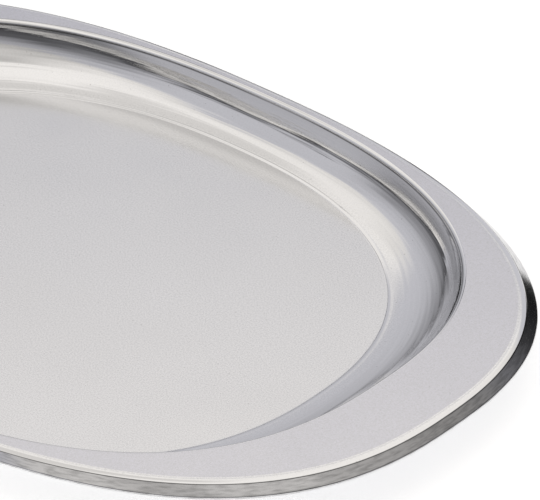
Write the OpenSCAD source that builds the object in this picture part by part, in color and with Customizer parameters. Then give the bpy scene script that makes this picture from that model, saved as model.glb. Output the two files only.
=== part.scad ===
// Oval serving tray: one drawn steel sheet with a sunk well, a flat rim that widens
// into a grip at each end, and a turned edge closed round a stiffening wire.
// Millimetres, +Z up, +X along the tray. The origin is the middle of the resting face.

/* [Tray] */
// Overall length, over the lips of the two ends
tray_length = 500; // [300:5:700]
// Overall width, over the lips of the two sides
tray_width = 326.2; // [220:0.2:420]
// Thickness of the steel sheet
sheet = 0.8; // [0.6:0.05:1]

/* [Well] */
// Depth of the well, from the rim to the floor
well_depth = 25; // [14:0.5:40]
// Width of the sloping wall at each end, seen from above
wall_end = 36.6; // [24:0.1:50]
// Width of the sloping wall at each side, seen from above
wall_side = 15.2; // [9:0.1:24]
// Outer radius of the bend where the wall meets the rim
mouth_bend = 2.2; // [1.6:0.1:4]
// Height of the pressed step round the floor
floor_step = 0.4; // [0.2:0.05:0.8]
// Width of the pressed step round the floor
floor_step_run = 1.2; // [0.8:0.1:2.5]
// Slope of the wall where it leaves the step, in degrees
wall_foot_slope = 7; // [2:1:15]
// Slope of the wall where it meets the bend, in degrees
wall_top_slope = 82; // [70:1:86]

/* [Rim] */
// Width of the rim at each end, from the lip to the mouth of the well
rim_end = 44.1; // [30:0.1:80]
// Width of the rim at each side, from the lip to the mouth of the well
rim_side = 8; // [7:0.1:30]
// Width of the soft roll where the flat rim starts to fall
rim_roll = 4.2; // [2:0.1:5]
// How far the roll falls before the edge turns down
rim_fall = 1; // [0.5:0.1:2.5]

/* [Turned edge] */
// Width of the edge's slanted band at each end, seen from above
band_end = 4.2; // [3:0.1:9]
// Width of the edge's slanted band at each side, seen from above
band_side = 1.4; // [1.2:0.1:3]
// Outer radius of the folds at the lip and at the hem
fold_bend = 1; // [0.95:0.05:1.3]

/* [Stiffening wire] */
// Diameter of the wire inside the turned edge
wire_d = 2.4; // [1.4:0.1:3]
// Space round the wire, to the hem below it and the folds beside it
wire_clearance = 0.05; // [0.02:0.01:0.1]
// Space between the wire and the lowest part of the rim above it
wire_headroom = 0.75; // [0.3:0.05:1.5]
// Length of the weld that closes the wire
weld_length = 3; // [2:0.5:8]
// How much thicker than the wire the weld is
weld_crown = 0.1; // [0:0.02:0.2]

/* [Outline] */
// Squareness of the lip's outline: 2 is an ellipse, more is squarer
lip_square = 2.51; // [2.2:0.01:2.8]
// Squareness of the brow, the line where the edge turns down
brow_square = 2.43; // [2.2:0.01:2.8]
// Squareness of the mouth of the well
mouth_square = 2.45; // [2.2:0.01:2.8]
// Squareness of the floor
floor_square = 2.27; // [2.1:0.01:2.8]

/* [Smoothness] */
// Points round each outline, a multiple of four
around = 120; // [80:4:120]

/* [Hidden] */

turn = 360 / around;
wall_steps = 8;
bend_steps = 3;
fold_steps = 3;
hem_fold_steps = 2;
wire_sides = 10;

rim_z = sheet + well_depth;
weld_d = wire_d + weld_crown;
edge_height = rim_fall + 2 * sheet + weld_d + wire_clearance + wire_headroom;
hem_z = rim_z - edge_height;
fold_z = hem_z + fold_bend;

// An outline is [half length, half width, squareness, height].
lip = [tray_length / 2, tray_width / 2, lip_square, fold_z];
brow = [lip[0] - band_end, lip[1] - band_side, brow_square, rim_z - rim_fall];
mouth = [lip[0] - rim_end, lip[1] - rim_side, mouth_square, rim_z];
foot_z = sheet + floor_step;
foot = [mouth[0] - wall_end, mouth[1] - wall_side, floor_square, foot_z];

// The bend at the mouth is an arc from level to the top slope of the wall. The mouth's
// outline runs along the middle of it.
bend_run = mouth_bend * sin(wall_top_slope);
bend_fall = mouth_bend * (1 - cos(wall_top_slope));
wall_top = inset(mouth, bend_run / 2, rim_z - bend_fall);

// The wire lies on the hem, as far inside the brow as a steep band leaves room for.
wire_z = hem_z + sheet + wire_clearance + weld_d / 2;
wire_inset = sheet + wire_clearance + weld_d / 2;
wire_line = inset(brow, wire_inset, wire_z);
hem_inset = wire_inset + weld_d / 2 + wire_clearance + sheet;

// ---------- outlines ----------

function inset(o, by, z) = [o[0] - by, o[1] - by, o[2], z];

function mix(a, b, f) = a + (b - a) * f;

function reach(o, angle) =
    pow(pow(abs(cos(angle)) / o[0], o[2]) + pow(abs(sin(angle)) / o[1], o[2]), -1 / o[2]);

function on_outline(o, angle) =
    let (r = reach(o, angle))
    [r * cos(angle), r * sin(angle), o[3]];

function ring(o) = [for (i = [0 : around - 1]) on_outline(o, i * turn)];

// ---------- the sheet's upper and outer skin, from the floor out to the hem ----------

floor_outlines = [
    inset(foot, 3 * floor_step_run, sheet),
    inset(foot, floor_step_run, sheet)
];

// The wall is a quarter of an ellipse, cut off at its two slopes.
function wall_out(slope) =
    (sin(slope) - sin(wall_foot_slope)) / (sin(wall_top_slope) - sin(wall_foot_slope));
function wall_up(slope) =
    (cos(wall_foot_slope) - cos(slope)) / (cos(wall_foot_slope) - cos(wall_top_slope));
wall_outlines = [
    for (i = [0 : wall_steps])
        let (slope = mix(wall_foot_slope, wall_top_slope, i / wall_steps))
        let (plan = mix(foot, wall_top, wall_out(slope)))
        let (z = mix(foot_z, wall_top[3], wall_up(slope)))
        [plan[0], plan[1], plan[2], z]
];

bend_outlines = [
    for (i = [1 : bend_steps])
        let (slope = wall_top_slope * (1 - i / bend_steps))
        inset(
            mouth,
            mouth_bend * sin(slope) - bend_run / 2,
            rim_z - mouth_bend * (1 - cos(slope))
        )
];

// The roll falls slowly at first: a quarter of the way down at half its width.
rim_outlines = [
    inset(brow, rim_roll, rim_z),
    inset(brow, rim_roll / 2, rim_z - rim_fall / 4),
    brow
];

// The band goes straight from the brow to the fold at the lip, and meets it without a
// corner, so the fold starts higher where the band is wide. It goes round to the hem.
function fold_start(angle) =
    let (run = reach(lip, angle) - reach(brow, angle) - fold_bend)
    let (fall = brow[3] - fold_z)
    90 - atan2(fall, run) + asin(fold_bend / norm([run, fall]));

lip_rings = [
    for (k = [0 : fold_steps])
        [
            for (i = [0 : around - 1])
                let (at = mix(fold_start(i * turn), -90, k / fold_steps))
                let (z = fold_z + fold_bend * sin(at))
                on_outline(inset(lip, fold_bend * (1 - cos(at)), z), i * turn)
        ]
];

// The hem runs in under the wire and turns up behind it, to the wire's middle.
hem_outlines = concat(
    [
        for (i = [0 : hem_fold_steps])
            let (at = mix(0, 90, i / hem_fold_steps))
            inset(
                brow,
                hem_inset - fold_bend * (1 - sin(at)),
                fold_z - fold_bend * cos(at)
            )
    ],
    [inset(brow, hem_inset, wire_z)]
);

skin = concat(
    [for (o = concat(floor_outlines, wall_outlines, bend_outlines, rim_outlines)) ring(o)],
    lip_rings,
    [for (o = hem_outlines) ring(o)]
);
rows = len(skin);

// ---------- the sheet's inner skin, one thickness below the outer one ----------

function across(k, i) = skin[min(k + 1, rows - 1)][i] - skin[max(k - 1, 0)][i];
function along(k, i) = skin[k][(i + 1) % around] - skin[k][(i + around - 1) % around];
function square_to(k, i) = let (n = cross(across(k, i), along(k, i))) n / norm(n);

// The innermost row is level, so that the resting face is flat.
function facing(k, i) = k == 0 ? [0, 0, 1] : square_to(k, i);

inner_skin = [
    for (k = [0 : rows - 1])
        [for (i = [0 : around - 1]) skin[k][i] - sheet * facing(k, i)]
];

// Two triangles for each patch between two neighbouring rows of points.
function patches(first, second, count) = [
    for (i = [0 : count - 1])
        let (j = (i + 1) % count)
        for (t = [[first + i, first + j, second + j], [first + i, second + j, second + i]]) t
];

module pan() {
    inner = rows * around;
    last = (rows - 1) * around;
    up = [for (k = [0 : rows - 2]) each patches(k * around, (k + 1) * around, around)];
    down = [
        for (k = [0 : rows - 2])
            each patches(inner + (k + 1) * around, inner + k * around, around)
    ];
    hem_edge = patches(last, inner + last, around);
    floor_top = [[for (i = [around - 1 : -1 : 0]) i]];
    floor_under = [[for (i = [0 : around - 1]) inner + i]];
    color("silver")
        polyhedron(
            points = concat([for (r = skin) each r], [for (r = inner_skin) each r]),
            faces = concat(up, down, hem_edge, floor_top, floor_under),
            convexity = 8
        );
}

// ---------- the stiffening wire ----------

// The wire starts and ends at the weld, in the middle of one long side.
wire_stops = concat(
    [[-weld_length / 2, wire_line[1], wire_z]],
    [for (i = [1 : around - 1]) on_outline(wire_line, 90 + i * turn)],
    [[weld_length / 2, wire_line[1], wire_z]]
);
last_stop = len(wire_stops) - 1;

// The two ends are square to the weld, and each ring between faces along the wire.
function wire_heading(i) =
    i == 0 || i == last_stop
        ? [-1, 0, 0]
        : let (d = wire_stops[i + 1] - wire_stops[i - 1]) d / norm(d);

function wire_ring(i) =
    let (side = cross(wire_heading(i), [0, 0, 1]))
    [
        for (j = [0 : wire_sides - 1])
            let (angle = (j + 0.5) * 360 / wire_sides)
            wire_stops[i] + wire_d / 2 * (cos(angle) * side + [0, 0, sin(angle)])
    ];

module edge_wire() {
    tube = [
        for (i = [0 : last_stop - 1])
            each patches(i * wire_sides, (i + 1) * wire_sides, wire_sides)
    ];
    start = [[for (j = [wire_sides - 1 : -1 : 0]) j]];
    end = [[for (j = [0 : wire_sides - 1]) last_stop * wire_sides + j]];
    color("darkgray")
        polyhedron(
            points = [for (i = [0 : last_stop]) each wire_ring(i)],
            faces = concat(tube, start, end),
            convexity = 8
        );
}

// ---------- the weld that closes the wire ----------

module wire_weld() {
    color("gray")
        translate([-weld_length / 2, wire_line[1], wire_z])
            rotate([0, 90, 0])
                cylinder(d = weld_d, h = weld_length, $fn = 48);
}

pan();
edge_wire();
wire_weld();
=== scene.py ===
import math

import bmesh
import bpy
from mathutils import Matrix, Vector


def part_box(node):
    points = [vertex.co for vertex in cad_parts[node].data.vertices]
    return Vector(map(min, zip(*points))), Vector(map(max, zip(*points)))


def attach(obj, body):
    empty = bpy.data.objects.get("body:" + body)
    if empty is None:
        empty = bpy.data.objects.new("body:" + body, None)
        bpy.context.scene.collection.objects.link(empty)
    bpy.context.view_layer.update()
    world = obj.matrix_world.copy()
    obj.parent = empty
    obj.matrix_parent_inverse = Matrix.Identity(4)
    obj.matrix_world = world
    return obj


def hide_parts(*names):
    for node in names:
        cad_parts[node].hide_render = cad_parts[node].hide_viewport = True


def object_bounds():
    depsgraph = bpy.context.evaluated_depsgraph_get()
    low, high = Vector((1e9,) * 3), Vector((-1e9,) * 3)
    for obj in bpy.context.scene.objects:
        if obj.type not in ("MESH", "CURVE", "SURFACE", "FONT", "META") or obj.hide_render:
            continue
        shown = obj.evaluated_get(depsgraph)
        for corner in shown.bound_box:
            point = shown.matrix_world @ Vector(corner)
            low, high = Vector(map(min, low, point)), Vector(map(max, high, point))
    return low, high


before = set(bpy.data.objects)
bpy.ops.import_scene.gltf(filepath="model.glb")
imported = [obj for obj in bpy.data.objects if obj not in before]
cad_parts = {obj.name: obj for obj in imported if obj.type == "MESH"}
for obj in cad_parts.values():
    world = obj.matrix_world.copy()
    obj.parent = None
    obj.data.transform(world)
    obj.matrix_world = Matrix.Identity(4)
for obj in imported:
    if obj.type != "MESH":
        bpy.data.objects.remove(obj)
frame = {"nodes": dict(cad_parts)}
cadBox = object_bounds()
print("frame loaded:", ", ".join(frame["nodes"]))


# The tray's sheet, in metres. The overall size and the rim's height come from the frame.
tray = {
    "sheet": 0.0008,
    "wallEnd": 0.0366,  # width of the wall at the ends and at the sides
    "wallSide": 0.0152,
    "rimEnd": 0.0441,  # lip to the mouth of the well
    "rimSide": 0.008,
    "bandEnd": 0.0042,  # width of the slanted band below the brow
    "bandSide": 0.0014,
    "rimRoll": 0.0042,
    "rimFall": 0.001,
    "edgeHeight": 0.0059,
    "mouthBend": 0.0022,
    "foldBend": 0.001,
    "stepRise": 0.0004,
    "stepRun": 0.0012,
    "footSlope": 7.0,  # degrees
    "topSlope": 82.0,
    "satinSlope": 8.0,  # where the satin finish is half gone
    "lipSquare": 2.51,
    "browSquare": 2.43,
    "mouthSquare": 2.45,
    "floorSquare": 2.27,
    "around": 480,
    "wallSteps": 40,
    "bendSteps": 10,
    "rollSteps": 10,
    "foldSteps": 14,
    "hemSteps": 6,
    "floorRows": (0.25, 0.5, 0.75, 0.9, 0.97),  # parts of the way from the middle to the step
    "stepRows": ((1.9, 0), (1.5, 0), (1.2, 0.04), (1.0, 0.18), (0.6, 0.5), (0.2, 0.82), (0, 0.94)),
    "bandRows": (0.03, 0.1, 0.4, 0.7, 0.94),  # parts of the way from the brow to the fold
    "bendMargin": 0.0004,  # level strips that keep the shading flat beside the bend and the roll
    "rollMargin": 0.0003,
    "grainRadius": 0.2,
    "sameHeight": 1e-6,
}


def mix(a, b, f):
    return a + (b - a) * f


# An outline is (half length, half width, squareness, height).
def inset(outline, by, z):
    return (outline[0] - by, outline[1] - by, outline[2], z)


def blendOutlines(first, second, f, z):
    return (mix(first[0], second[0], f), mix(first[1], second[1], f), mix(first[2], second[2], f), z)


def reach(outline, angle):
    halfLength, halfWidth, square = outline[:3]
    along = abs(math.cos(angle) / halfLength) ** square
    across = abs(math.sin(angle) / halfWidth) ** square
    return (along + across) ** (-1 / square)


def onOutline(outline, angle):
    r = reach(outline, angle)
    return Vector((r * math.cos(angle), r * math.sin(angle), outline[3]))


low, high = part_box("pan")
rimZ = high.z
floorZ = low.z + tray["sheet"]
hemZ = rimZ - tray["edgeHeight"]
foldZ = hemZ + tray["foldBend"]
lip = (high.x, high.y, tray["lipSquare"], foldZ)
brow = (lip[0] - tray["bandEnd"], lip[1] - tray["bandSide"], tray["browSquare"], rimZ - tray["rimFall"])
mouth = (lip[0] - tray["rimEnd"], lip[1] - tray["rimSide"], tray["mouthSquare"], rimZ)
foot = (mouth[0] - tray["wallEnd"], mouth[1] - tray["wallSide"], tray["floorSquare"], floorZ)


# The wire that the edge is turned round, and the weld that closes it.
wire = {
    "width": 0.0024,
    "clearance": 0.00005,
    "weldLength": 0.003,
    "weldCrown": 0.0001,
    "sides": 24,
    "stops": 480,
    "weldSides": 48,
    "ripples": 5,
}
weldWidth = wire["width"] + wire["weldCrown"]
wireZ = hemZ + tray["sheet"] + wire["clearance"] + weldWidth / 2
wireLine = inset(brow, tray["sheet"] + wire["clearance"] + weldWidth / 2, wireZ)
hemInset = 2 * (tray["sheet"] + wire["clearance"]) + weldWidth


# The band goes straight from the brow to the fold at the lip and meets it without a corner.
def foldStart(angle):
    run = reach(lip, angle) - reach(brow, angle) - tray["foldBend"]
    fall = brow[3] - foldZ
    return math.pi / 2 - math.atan2(fall, run) + math.asin(tray["foldBend"] / math.hypot(run, fall))


def onFold(part, angle):
    at = mix(foldStart(angle), -math.pi / 2, part)
    by = tray["foldBend"] * (1 - math.cos(at))
    return onOutline(inset(lip, by, foldZ + tray["foldBend"] * math.sin(at)), angle)


# Every row of the sheet's outer skin, from the floor to the hem, as a function of the angle.
def trayRows():
    t = tray
    footZ = floorZ + t["stepRise"]
    outlines = []

    # the flat floor, then the pressed step round it
    for part in t["floorRows"]:
        outlines.append((foot[0] * part, foot[1] * part, foot[2], floorZ))
    for by, up in t["stepRows"]:
        outlines.append(inset(foot, by * t["stepRun"], floorZ + up * t["stepRise"]))

    # the wall: a quarter of an ellipse, cut off at its two slopes
    footSlope = math.radians(t["footSlope"])
    topSlope = math.radians(t["topSlope"])
    bendRun = t["mouthBend"] * math.sin(topSlope)
    bendFall = t["mouthBend"] * (1 - math.cos(topSlope))
    wallTop = inset(mouth, bendRun / 2, rimZ - bendFall)
    for i in range(1, t["wallSteps"] + 1):
        slope = mix(footSlope, topSlope, i / t["wallSteps"])
        out = (math.sin(slope) - math.sin(footSlope)) / (math.sin(topSlope) - math.sin(footSlope))
        up = (math.cos(footSlope) - math.cos(slope)) / (math.cos(footSlope) - math.cos(topSlope))
        outlines.append(blendOutlines(foot, wallTop, out, mix(footZ, wallTop[3], up)))

    # the bend at the mouth of the well
    for i in range(1, t["bendSteps"] + 1):
        slope = topSlope * (1 - i / t["bendSteps"])
        by = t["mouthBend"] * math.sin(slope) - bendRun / 2
        outlines.append(inset(mouth, by, rimZ - t["mouthBend"] * (1 - math.cos(slope))))
    outlines.append(inset(mouth, -bendRun / 2 - t["bendMargin"], rimZ))

    # the flat rim, the soft roll at its edge and the band
    rollStart = inset(brow, t["rimRoll"] + t["rollMargin"], rimZ)
    outlines.append(blendOutlines(inset(mouth, -bendRun / 2, rimZ), rollStart, 0.5, rimZ))
    outlines.append(rollStart)
    for i in range(0, t["rollSteps"] + 1):
        f = i / t["rollSteps"]
        outlines.append(inset(brow, t["rimRoll"] * (1 - f), rimZ - t["rimFall"] * f * f))
    rows = [lambda angle, o=o: onOutline(o, angle) for o in outlines]
    for f in t["bandRows"]:
        rows.append(lambda angle, f=f: onOutline(brow, angle).lerp(onFold(0, angle), f))

    # the fold at the lip, then the hem, which runs in under the wire and turns up behind it
    for i in range(0, t["foldSteps"] + 1):
        rows.append(lambda angle, f=i / t["foldSteps"]: onFold(f, angle))
    for i in range(0, t["hemSteps"] + 1):
        at = math.radians(mix(0, 90, i / t["hemSteps"]))
        by = hemInset - t["foldBend"] * (1 - math.sin(at))
        o = inset(brow, by, foldZ - t["foldBend"] * math.cos(at))
        rows.append(lambda angle, o=o: onOutline(o, angle))
    top = inset(brow, hemInset, wireZ)
    rows.append(lambda angle: onOutline(top, angle))
    return rows


def finished(bm, name):
    for f in bm.faces:
        f.smooth = True
    mesh = bpy.data.meshes.new(name)
    bm.to_mesh(mesh)
    bm.free()
    piece = bpy.data.objects.new(name, mesh)
    bpy.context.collection.objects.link(piece)
    return piece


def dress(piece, node):
    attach(piece, "root")
    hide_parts(node)


# The pan is drawn row by row. Its attributes: "grain" runs round the tray and across the
# sheet, "satin" is 1 where the sheet is level enough to be satin polished, "ground" is 1 on
# the turned edge, "rim" on the flat rim, and the last one on the two rows that carry painted dark lines:
# a painted dark reflection under the bend at the mouth and a painted shade line along the brow.
def makePan():
    rows = trayRows()
    bm = bmesh.new()
    grain = bm.verts.layers.float_vector.new("grain")
    satin = bm.verts.layers.float.new("satin")
    ground = bm.verts.layers.float.new("ground")
    rim = bm.verts.layers.float.new("rim")
    paintedDarkLine = bm.verts.layers.float.new("paintedDarkLine")
    bendFall = tray["mouthBend"] * (1 - math.cos(math.radians(tray["topSlope"])))
    # the heights of the two rows that get the painted dark lines, painted reflection and shade
    paintedLineHeights = (brow[3], rimZ - bendFall)
    made = bmesh.ops.create_circle(bm, cap_ends=True, segments=tray["around"], radius=1)
    for v in made["verts"]:
        v.co = rows[0](math.atan2(v.co.y, v.co.x))
        v[satin] = 1
    loop = list(bm.edges)
    across = 0
    for before, row in zip(rows, rows[1:]):
        grown = bmesh.ops.extrude_edge_only(bm, edges=loop)["geom"]
        loop = [g for g in grown if isinstance(g, bmesh.types.BMEdge)]
        step = row(0) - before(0)
        across += step.length
        slope = abs(math.atan2(step.z, step.x)) / math.radians(tray["satinSlope"])
        level = min(max(1.5 - slope, 0), 1)
        height = row(0).z
        pastMouth = row(0).x > mouth[0]
        outside = height < brow[3] and pastMouth
        onRim = height > rimZ - tray["sameHeight"] and pastMouth
        onPaintedLine = any(abs(height - z) < tray["sameHeight"] for z in paintedLineHeights)
        for v in (g for g in grown if isinstance(g, bmesh.types.BMVert)):
            angle = math.atan2(v.co.y, v.co.x)
            v.co = row(angle)
            v[grain] = (tray["grainRadius"] * math.cos(angle), tray["grainRadius"] * math.sin(angle), across)
            v[satin] = 0 if outside else level
            v[ground] = 1 if outside else 0
            v[rim] = 1 if onRim else 0
            v[paintedDarkLine] = 1 if onPaintedLine else 0
    bmesh.ops.recalc_face_normals(bm, faces=bm.faces)
    if max(bm.faces, key=lambda f: f.calc_area()).normal.z < 0:
        bmesh.ops.reverse_faces(bm, faces=bm.faces)
    shell = list(bm.faces)
    bmesh.ops.solidify(bm, geom=shell, thickness=tray["sheet"])
    return finished(bm, "polishedPan")


pan = makePan()
dress(pan, "pan")
print("pan made:", len(pan.data.polygons), "faces")


def wireFrame(f):
    gap = math.asin(wire["weldLength"] / 2 / wireLine[1])
    angle = math.radians(90) + mix(gap, math.tau - gap, f)
    before, after = onOutline(wireLine, angle - 0.001), onOutline(wireLine, angle + 0.001)
    heading = (after - before).normalized()
    if f in (0, 1):
        heading = Vector((-1, 0, 0))
    up = Vector((0, 0, 1))
    side = up.cross(heading)
    turned = Matrix((side, up, heading)).transposed()
    return Matrix.Translation(onOutline(wireLine, angle)) @ turned.to_4x4()


def makeWire():
    bm = bmesh.new()
    place = wireFrame(0)
    bmesh.ops.create_circle(bm, cap_ends=True, segments=wire["sides"], radius=wire["width"] / 2, matrix=place)
    loop = list(bm.edges)
    for i in range(1, wire["stops"] + 1):
        grown = bmesh.ops.extrude_edge_only(bm, edges=loop)["geom"]
        loop = [g for g in grown if isinstance(g, bmesh.types.BMEdge)]
        loop = [e for e in loop if all(v in grown for v in e.verts)]
        stop = wireFrame(i / wire["stops"])
        verts = [g for g in grown if isinstance(g, bmesh.types.BMVert)]
        bmesh.ops.transform(bm, matrix=stop @ place.inverted(), verts=verts)
        place = stop
    bmesh.ops.edgeloop_fill(bm, edges=loop)
    bmesh.ops.recalc_face_normals(bm, faces=bm.faces)
    return finished(bm, "edgeWire")


def makeWeld():
    bm = bmesh.new()
    steps = 40
    first = None
    profile = []
    for i in range(steps + 1):
        f = i / steps
        crown = math.sin(math.pi * f) * (0.8 + 0.2 * math.cos(math.tau * wire["ripples"] * f))
        radius = (wire["width"] + wire["weldCrown"] * crown) / 2
        v = bm.verts.new((mix(-0.5, 0.5, f) * wire["weldLength"], wireLine[1], wireLine[3] + radius))
        if first:
            profile.append(bm.edges.new((first, v)))
        first = v
    middle = Vector((0, wireLine[1], wireLine[3]))
    bmesh.ops.spin(
        bm, geom=profile, cent=middle, axis=(1, 0, 0), angle=math.tau, steps=wire["weldSides"], use_merge=True
    )
    bmesh.ops.holes_fill(bm, edges=[e for e in bm.edges if e.is_boundary])
    bmesh.ops.recalc_face_normals(bm, faces=bm.faces)
    return finished(bm, "wireWeld")


edgeWire = makeWire()
dress(edgeWire, "edge_wire")
wireWeld = makeWeld()
dress(wireWeld, "wire_weld")
print("wire and weld made")


# Small helpers for the finishes.
class Finish:
    def __init__(self, name):
        self.material = bpy.data.materials.new(name)
        self.material.use_nodes = True
        self.nodes = self.material.node_tree.nodes
        self.links = self.material.node_tree.links
        self.nodes.clear()
        out = self.nodes.new("ShaderNodeOutputMaterial")
        self.shader = self.nodes.new("ShaderNodeBsdfPrincipled")
        self.shader.inputs["Metallic"].default_value = 1
        self.links.new(self.shader.outputs["BSDF"], out.inputs["Surface"])
        coords = self.nodes.new("ShaderNodeTexCoord")
        self.place = coords.outputs["Object"]
        self.normal = coords.outputs["Normal"]

    def feed(self, socket, value):
        if isinstance(value, bpy.types.NodeSocket):
            self.links.new(value, socket)
        else:
            socket.default_value = value

    def attribute(self, name, output):
        node = self.nodes.new("ShaderNodeAttribute")
        node.attribute_name = name
        return node.outputs[output]

    def noise(self, vector, scale, detail, stretch=(1, 1, 1)):
        mapping = self.nodes.new("ShaderNodeMapping")
        mapping.inputs["Scale"].default_value = stretch
        self.links.new(vector, mapping.inputs["Vector"])
        node = self.nodes.new("ShaderNodeTexNoise")
        node.inputs["Scale"].default_value = scale
        node.inputs["Detail"].default_value = detail
        self.links.new(mapping.outputs[0], node.inputs["Vector"])
        return node.outputs["Fac"]

    def span(self, value, fromLow, fromHigh, toLow, toHigh):
        node = self.nodes.new("ShaderNodeMapRange")
        names = ("Value", "From Min", "From Max", "To Min", "To Max")
        for name, number in zip(names, (value, fromLow, fromHigh, toLow, toHigh)):
            self.feed(node.inputs[name], number)
        return node.outputs[0]

    def sums(self, operation, *values):
        node = self.nodes.new("ShaderNodeMath")
        node.operation = operation
        for socket, value in zip(node.inputs, values):
            self.feed(socket, value)
        return node.outputs[0]

    def blend(self, factor, first, second):
        node = self.nodes.new("ShaderNodeMix")
        node.data_type = "RGBA"
        for index, value in ((0, factor), (6, first), (7, second)):
            self.feed(node.inputs[index], value)
        return node.outputs[2]

    def bump(self, height, depth, under=None):
        node = self.nodes.new("ShaderNodeBump")
        node.inputs["Distance"].default_value = depth
        self.links.new(height, node.inputs["Height"])
        if under:
            self.links.new(under, node.inputs["Normal"])
        return node.outputs[0]


# The pan. Its floor and rim are satin polished, its wall is buffed bright and shows how the
# sheet was drawn, and the turned edge is ground. Noise scales are per metre, depths in metres.
polish = {
    "colour": (0.85, 0.85, 0.855, 1),
    "wiped": (0.785, 0.78, 0.775, 1),
    "rim": (0.72, 0.715, 0.755, 1),
    "grained": (0.62, 0.62, 0.625, 1),
    "speck": (0.45, 0.44, 0.43, 1),
    "groundEdge": (0.64, 0.64, 0.65, 1),
    "groundDark": (0.38, 0.38, 0.385, 1),
    # painted shade: near black, for the dark lines painted along the mouth's bend and the brow
    "paintedDarkLine": (0.03, 0.03, 0.03, 1),
    "brightRough": 0.045,
    "satinRough": 0.15,
    "groundRough": 0.14,
    "underRough": 0.10,  # more than on the upper side
    "smearRough": 0.03,
    "scratchRough": 0.05,
    "clouds": 9,  # scales of the noises that the colour and the roughness use
    "specks": 900,
    "mottling": (170, 5),  # on the turned edge, and how much finer across it
    # scale of the noise that makes the painted dark lines uneven
    "paintedLineNoise": 14,
    "smears": 22,
    "scratches": ((60, (1, 22, 1)), (55, (24, 1.5, 1))),  # the two ways they run
    "grain": 1300,
    "grainDepth": 0.000007,
    "grainTone": (0.15, 0.55),  # on the bright wall and on the satin parts
    "waves": (7, 22),  # round the wall, and how much finer across it
    "wavesDepth": 0.00030,
    "lines": (22, 40),
    "linesDepth": 0.000020,
    "groundLines": (30, 90),
    "groundDepth": 0.000006,
}


def polishedSteel():
    f = Finish("polishedSteel")
    p = polish
    along = f.attribute("grain", "Vector")
    satin = f.attribute("satin", "Fac")
    ground = f.attribute("ground", "Fac")
    bright = f.sums("SUBTRACT", 1, f.sums("MAXIMUM", satin, ground))

    # colour: clouded a little by wiping, grained, with a few dark specks, a mottled ground
    # edge, and painted dark lines: a painted reflection under the mouth's bend and painted shade at the brow
    grain = f.noise(f.place, p["grain"], 2)
    clouds = f.span(f.noise(f.place, p["clouds"], 4), 0.35, 0.7, 0.1, 0.45)
    colour = f.blend(clouds, p["colour"], p["wiped"])
    colour = f.blend(f.attribute("rim", "Fac"), colour, p["rim"])
    grainTone = f.span(satin, 0, 1, *p["grainTone"])
    colour = f.blend(f.span(grain, 0.38, 0.68, 0, grainTone), colour, p["grained"])
    specks = f.span(f.noise(f.place, p["specks"], 0), 0.83, 0.86, 0, 0.5)
    colour = f.blend(specks, colour, p["speck"])
    mottled = f.noise(along, p["mottling"][0], 5, (1, 1, p["mottling"][1]))
    mottled = f.span(mottled, 0.42, 0.66, 0, 0.7)
    colour = f.blend(ground, colour, f.blend(mottled, p["groundEdge"], p["groundDark"]))
    # painted dark lines along the mouth's bend and the brow, standing in for reflection and shade, a little
    # uneven
    paintedLineNoise = f.span(f.noise(along, p["paintedLineNoise"], 2), 0.3, 0.5, 0.6, 1)
    paintedLineNoise = f.sums("MULTIPLY", paintedLineNoise, f.attribute("paintedDarkLine", "Fac"))
    f.links.new(f.blend(paintedLineNoise, colour, p["paintedDarkLine"]), f.shader.inputs["Base Color"])

    # roughness: smears all over, hairline scratches from use on the level parts
    rough = f.span(satin, 0, 1, p["brightRough"], p["satinRough"])
    rough = f.sums("ADD", rough, f.span(ground, 0, 1, 0, p["groundRough"] - p["brightRough"]))
    smears = f.span(f.noise(f.place, p["smears"], 6), 0.3, 0.7, -p["smearRough"], p["smearRough"])
    rough = f.sums("ADD", rough, f.sums("MULTIPLY", smears, f.span(satin, 0, 1, 0.4, 1)))
    runs = [f.noise(f.place, scale, 2, stretch) for scale, stretch in p["scratches"]]
    scratches = f.sums("MAXIMUM", *runs)
    scratches = f.span(scratches, 0.68, 0.76, 0, p["scratchRough"])
    rough = f.sums("ADD", rough, f.sums("MULTIPLY", scratches, satin))
    split = f.nodes.new("ShaderNodeSeparateXYZ")
    f.links.new(f.normal, split.inputs[0])
    rough = f.sums("ADD", rough, f.span(split.outputs["Z"], 0, -0.3, 0, p["underRough"]))
    f.links.new(rough, f.shader.inputs["Roughness"])

    # the surface: broad waves and drawing lines round the wall, grinding lines, satin grain
    waves = f.noise(along, p["waves"][0], 2, (1, 1, p["waves"][1]))
    lines = f.noise(along, p["lines"][0], 3, (1, 1, p["lines"][1]))
    edge = f.noise(along, p["groundLines"][0], 2, (1, 1, p["groundLines"][1]))
    shape = f.bump(f.sums("MULTIPLY", waves, bright), p["wavesDepth"])
    shape = f.bump(f.sums("MULTIPLY", lines, bright), p["linesDepth"], shape)
    shape = f.bump(f.sums("MULTIPLY", edge, ground), p["groundDepth"], shape)
    grain = f.sums("MULTIPLY", grain, f.span(satin, 0, 1, 0.1, 1))
    f.links.new(f.bump(grain, p["grainDepth"], shape), f.shader.inputs["Normal"])
    return f.material


# The wire, drawn through a die: lines along it, a little dull where it was handled.
drawnWire = {
    "colour": (0.56, 0.56, 0.57, 1),
    "dull": (0.47, 0.465, 0.46, 1),
    "rough": (0.22, 0.36),
    "lineDepth": 0.000012,
}


def wireSteel():
    f = Finish("wireSteel")
    p = drawnWire
    patches = f.noise(f.place, 60, 5)
    lines = f.noise(f.place, 120, 3, (1, 1, 18))
    colour = f.blend(f.span(patches, 0.4, 0.65, 0, 1), p["colour"], p["dull"])
    f.links.new(colour, f.shader.inputs["Base Color"])
    f.links.new(f.span(lines, 0.3, 0.7, *p["rough"]), f.shader.inputs["Roughness"])
    f.links.new(f.bump(lines, p["lineDepth"]), f.shader.inputs["Normal"])
    return f.material


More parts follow.
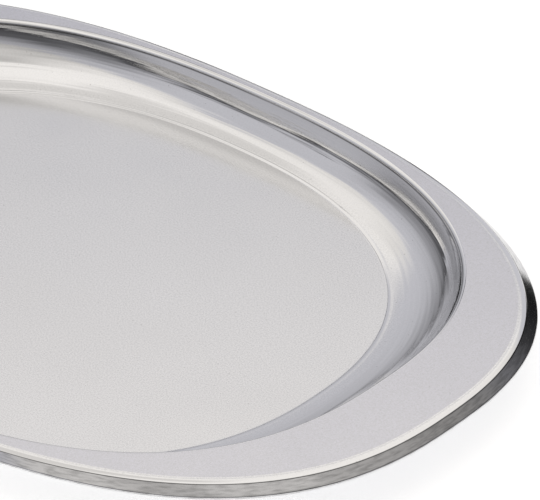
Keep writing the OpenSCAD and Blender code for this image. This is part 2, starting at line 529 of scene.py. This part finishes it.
# The weld: dark scale in its middle and straw and blue heat tints towards its ends.
heatTint = {
    "scale": (0.30, 0.285, 0.27, 1),
    "blue": (0.36, 0.40, 0.50, 1),
    "straw": (0.60, 0.52, 0.38, 1),
    "rough": (0.35, 0.60),
    "pitDepth": 0.00004,
}


def weldSteel():
    f = Finish("weldSteel")
    p = heatTint
    split = f.nodes.new("ShaderNodeSeparateXYZ")
    f.links.new(f.place, split.inputs[0])
    pits = f.noise(f.place, 1500, 5)
    out = f.span(f.sums("ABSOLUTE", split.outputs["X"]), 0, wire["weldLength"] / 2, 0, 1)
    out = f.sums("ADD", out, f.span(pits, 0, 1, -0.15, 0.15))
    colour = f.blend(f.span(out, 0.3, 0.6, 0, 1), p["scale"], p["blue"])
    colour = f.blend(f.span(out, 0.6, 0.95, 0, 1), colour, p["straw"])
    f.links.new(colour, f.shader.inputs["Base Color"])
    f.links.new(f.span(pits, 0.3, 0.7, *p["rough"]), f.shader.inputs["Roughness"])
    f.links.new(f.bump(pits, p["pitDepth"]), f.shader.inputs["Normal"])
    return f.material


pan.data.materials.append(polishedSteel())
edgeWire.data.materials.append(wireSteel())
wireWeld.data.materials.append(weldSteel())
print("finishes made")


camera = {
    "azimuth": 40.57,
    "elevation": 32.86,
    "distance": 2.5,
    "lens": 355.6,  # mm, as is the sensor's width
    "sensor": 36,
    "clip": (0.1, 50),
    "target": (0.0974, 0.0502),
}


def direction(azimuth, elevation):
    a, e = math.radians(azimuth), math.radians(elevation)
    return Vector((math.sin(a) * math.cos(e), -math.cos(a) * math.cos(e), math.sin(e)))


def makeCamera():
    data = bpy.data.cameras.new("camera")
    data.lens = camera["lens"]
    data.sensor_width = camera["sensor"]
    data.clip_start, data.clip_end = camera["clip"]
    eye = bpy.data.objects.new("camera", data)
    bpy.context.collection.objects.link(eye)
    back = direction(camera["azimuth"], camera["elevation"])
    target = Vector((*camera["target"], cadBox[1].z))
    eye.location = target + back * camera["distance"]
    eye.rotation_mode = "QUATERNION"
    eye.rotation_quaternion = (-back).to_track_quat("-Z", "Y")
    bpy.context.scene.camera = eye


makeCamera()


# The studio. A white sheet hangs over the tray and falls behind it, three soft lights stand
# beside and behind it, and the room beyond is dark near the ground. Bearings are degrees to
# the right of the camera's line of sight, heights are degrees above the table.
studio = {
    "sheet": (
        (0, 0.02), (4, 0.10), (8, 0.26), (14, 0.37), (20, 0.50), (26, 0.58), (30, 0.62), (34, 0.76),
        (38, 0.84), (42, 0.91), (50, 0.96), (70, 1.0),
    ),
    "cool": (0.985, 0.980, 1.040),  # of the sheet's lower half, and of the rest
    "warm": (1.032, 1.0, 0.965),
    "tintHeights": (29, 37),
    "lights": (
        {"tone": 0.60, "bearings": (-132, -112, -92, -74), "foot": (3, 9), "heights": (20, 40)},
        {"tone": 0.66, "bearings": (-30, 8, 30, 60), "foot": (3, 9), "heights": (20, 40)},
        {"tone": 0.97, "bearings": (-30, -12, 12, 30), "foot": (32, 36.5), "heights": (44, 60)},
    ),
    "veil": {"dim": 0.77, "bearings": (-95, -70, -6, 8), "heights": (46, 56, 66, 74)},
    "back": ((0, 0.07), (14, 0.11), (25, 0.34), (35, 0.48), (45, 0.60), (55, 0.66), (66, 0.56), (90, 0.54)),
    "backBearing": 170,
    "backWidths": (40, 72),  # where it starts to fade and where it ends
    "backTop": (66, 86),
    "room": ((0, 0.0), (14, 0.02), (21, 0.05), (28, 0.17), (34, 0.29), (39, 0.37), (48, 0.49), (60, 0.56)),
    "roomBearing": 110,
    "roomTilt": 20,
    "roomEdge": (0.0, 0.06),
    "roomBehind": (146, 174),  # where it fades out behind the camera
}


def makeWorld():
    world = bpy.data.worlds.new("studio")
    bpy.context.scene.world = world
    world.use_nodes = True
    nodes, links = world.node_tree.nodes, world.node_tree.links
    nodes.clear()

    def feed(socket, value):
        if isinstance(value, bpy.types.NodeSocket):
            links.new(value, socket)
        else:
            socket.default_value = value

    def sums(operation, *values):
        node = nodes.new("ShaderNodeMath")
        node.operation = operation
        for socket, value in zip(node.inputs, values):
            feed(socket, value)
        return node.outputs[0]

    def step(value, start, end, low=0.0, high=1.0):
        node = nodes.new("ShaderNodeMapRange")
        node.interpolation_type = "SMOOTHSTEP"
        names = ("Value", "From Min", "From Max", "To Min", "To Max")
        for name, number in zip(names, (value, start, end, low, high)):
            feed(node.inputs[name], number)
        return node.outputs[0]

    def tones(height, stops):
        node = nodes.new("ShaderNodeValToRGB")
        ramp = node.color_ramp
        while len(ramp.elements) < len(stops):
            ramp.elements.new(0.5)
        for element, (at, tone) in zip(ramp.elements, stops):
            element.position = at / 90
            element.color = (tone, tone, tone, 1)
        feed(node.inputs["Fac"], sums("DIVIDE", height, 90.0))
        return node.outputs["Color"]

    def mixed(a, b, f):
        node = nodes.new("ShaderNodeMix")
        for name, value in (("Factor", f), ("A", a), ("B", b)):
            feed(node.inputs[name], value)
        return node.outputs["Result"]

    coords = nodes.new("ShaderNodeTexCoord")
    turned = nodes.new("ShaderNodeMapping")
    turned.inputs["Rotation"].default_value = (0, 0, math.radians(-camera["azimuth"]))
    links.new(coords.outputs["Generated"], turned.inputs["Vector"])
    split = nodes.new("ShaderNodeSeparateXYZ")
    links.new(turned.outputs[0], split.inputs[0])
    x, y, z = split.outputs["X"], split.outputs["Y"], split.outputs["Z"]
    bearing = sums("DEGREES", sums("ARCTAN2", x, y))
    height = sums("DEGREES", sums("ARCSINE", z))

    tone = tones(height, studio["sheet"])
    for light in studio["lights"]:
        low, left, right, high = light["bearings"]
        lit = sums("MULTIPLY", step(bearing, low, left), step(bearing, right, high, 1, 0))
        lit = sums("MULTIPLY", lit, step(height, *light["heights"], 1, 0))
        lit = sums("MULTIPLY", lit, step(height, *light["foot"]))
        tone = mixed(tone, sums("MAXIMUM", tone, light["tone"]), lit)

    # a fold in the sheet, a little darker than the rest
    veil = studio["veil"]
    low, left, right, high = veil["bearings"]
    foot, lower, upper, head = veil["heights"]
    veiled = sums("MULTIPLY", step(bearing, low, left), step(bearing, right, high, 1, 0))
    veiled = sums("MULTIPLY", veiled, step(height, foot, lower))
    veiled = sums("MULTIPLY", veiled, step(height, upper, head, 1, 0))
    tone = mixed(tone, sums("MULTIPLY", tone, veil["dim"]), veiled)

    # the back of the room, behind the camera and to its right
    aside = sums("ABSOLUTE", sums("WRAP", sums("SUBTRACT", bearing, studio["backBearing"]), 180, -180))
    back = sums("MULTIPLY", step(aside, *studio["backWidths"], 1, 0), step(height, *studio["backTop"], 1, 0))
    tone = mixed(tone, tones(height, studio["back"]), back)

    # the dark side of the room, under the sheet's straight edge
    side, tilt = math.radians(studio["roomBearing"]), math.radians(studio["roomTilt"])
    towards = (math.sin(side) * math.cos(tilt), math.cos(side) * math.cos(tilt), -math.sin(tilt))
    depth = sums("ADD", sums("MULTIPLY", x, towards[0]), sums("MULTIPLY", y, towards[1]))
    depth = sums("ADD", depth, sums("MULTIPLY", z, towards[2]))
    fading = step(sums("ABSOLUTE", bearing), *studio["roomBehind"], 1, 0)
    room = sums("MULTIPLY", step(depth, *studio["roomEdge"]), fading)
    tone = mixed(tone, tones(height, studio["room"]), room)

    tint = nodes.new("ShaderNodeMix")
    tint.data_type = "VECTOR"
    for index, value in ((0, step(height, *studio["tintHeights"])), (4, studio["cool"]), (5, studio["warm"])):
        feed(tint.inputs[index], value)
    tinted = nodes.new("ShaderNodeVectorMath")
    tinted.operation = "SCALE"
    links.new(tint.outputs[1], tinted.inputs[0])
    links.new(tone, tinted.inputs["Scale"])
    background = nodes.new("ShaderNodeBackground")
    links.new(tinted.outputs[0], background.inputs["Color"])
    background.inputs["Strength"].default_value = 1
    out = nodes.new("ShaderNodeOutputWorld")
    links.new(background.outputs[0], out.inputs["Surface"])


# The table. What the studio's light leaves short of white is made up for the camera and for
# reflections, so the tray's shadow stays.
table = {
    "size": 60.0,
    "gap": 0.0002,  # under the resting face, so that the two don't lie in one plane
    "colour": (0.80, 0.80, 0.80, 1),
    "lift": 0.62,
}


def makeTable():
    bm = bmesh.new()
    bmesh.ops.create_grid(bm, x_segments=1, y_segments=1, size=table["size"] / 2)
    bmesh.ops.translate(bm, verts=list(bm.verts), vec=(0, 0, -table["gap"]))
    mesh = bpy.data.meshes.new("table")
    bm.to_mesh(mesh)
    bm.free()
    top = bpy.data.objects.new("table", mesh)
    bpy.context.collection.objects.link(top)

    material = bpy.data.materials.new("paleTable")
    material.use_nodes = True
    nodes, links = material.node_tree.nodes, material.node_tree.links
    nodes.clear()
    paint = nodes.new("ShaderNodeBsdfDiffuse")
    paint.inputs["Color"].default_value = table["colour"]
    glow = nodes.new("ShaderNodeEmission")
    paths = nodes.new("ShaderNodeLightPath")
    seen = paths.outputs["Is Camera Ray"]
    for name in ("Is Glossy Ray", "Is Transmission Ray"):
        either = nodes.new("ShaderNodeMath")
        either.operation = "MAXIMUM"
        links.new(seen, either.inputs[0])
        links.new(paths.outputs[name], either.inputs[1])
        seen = either.outputs[0]
    lift = nodes.new("ShaderNodeMath")
    lift.operation = "MULTIPLY"
    lift.inputs[1].default_value = table["lift"]
    links.new(seen, lift.inputs[0])
    links.new(lift.outputs[0], glow.inputs["Strength"])
    both = nodes.new("ShaderNodeAddShader")
    links.new(paint.outputs[0], both.inputs[0])
    links.new(glow.outputs[0], both.inputs[1])

    # from below the table lets the camera through
    side = nodes.new("ShaderNodeNewGeometry")
    through = nodes.new("ShaderNodeBsdfTransparent")
    choose = nodes.new("ShaderNodeMixShader")
    links.new(side.outputs["Backfacing"], choose.inputs[0])
    links.new(both.outputs[0], choose.inputs[1])
    links.new(through.outputs[0], choose.inputs[2])
    out = nodes.new("ShaderNodeOutputMaterial")
    links.new(choose.outputs[0], out.inputs["Surface"])
    mesh.materials.append(material)


makeTable()
makeWorld()
print("studio made")

bpy.context.scene.view_settings.view_transform = "Standard"
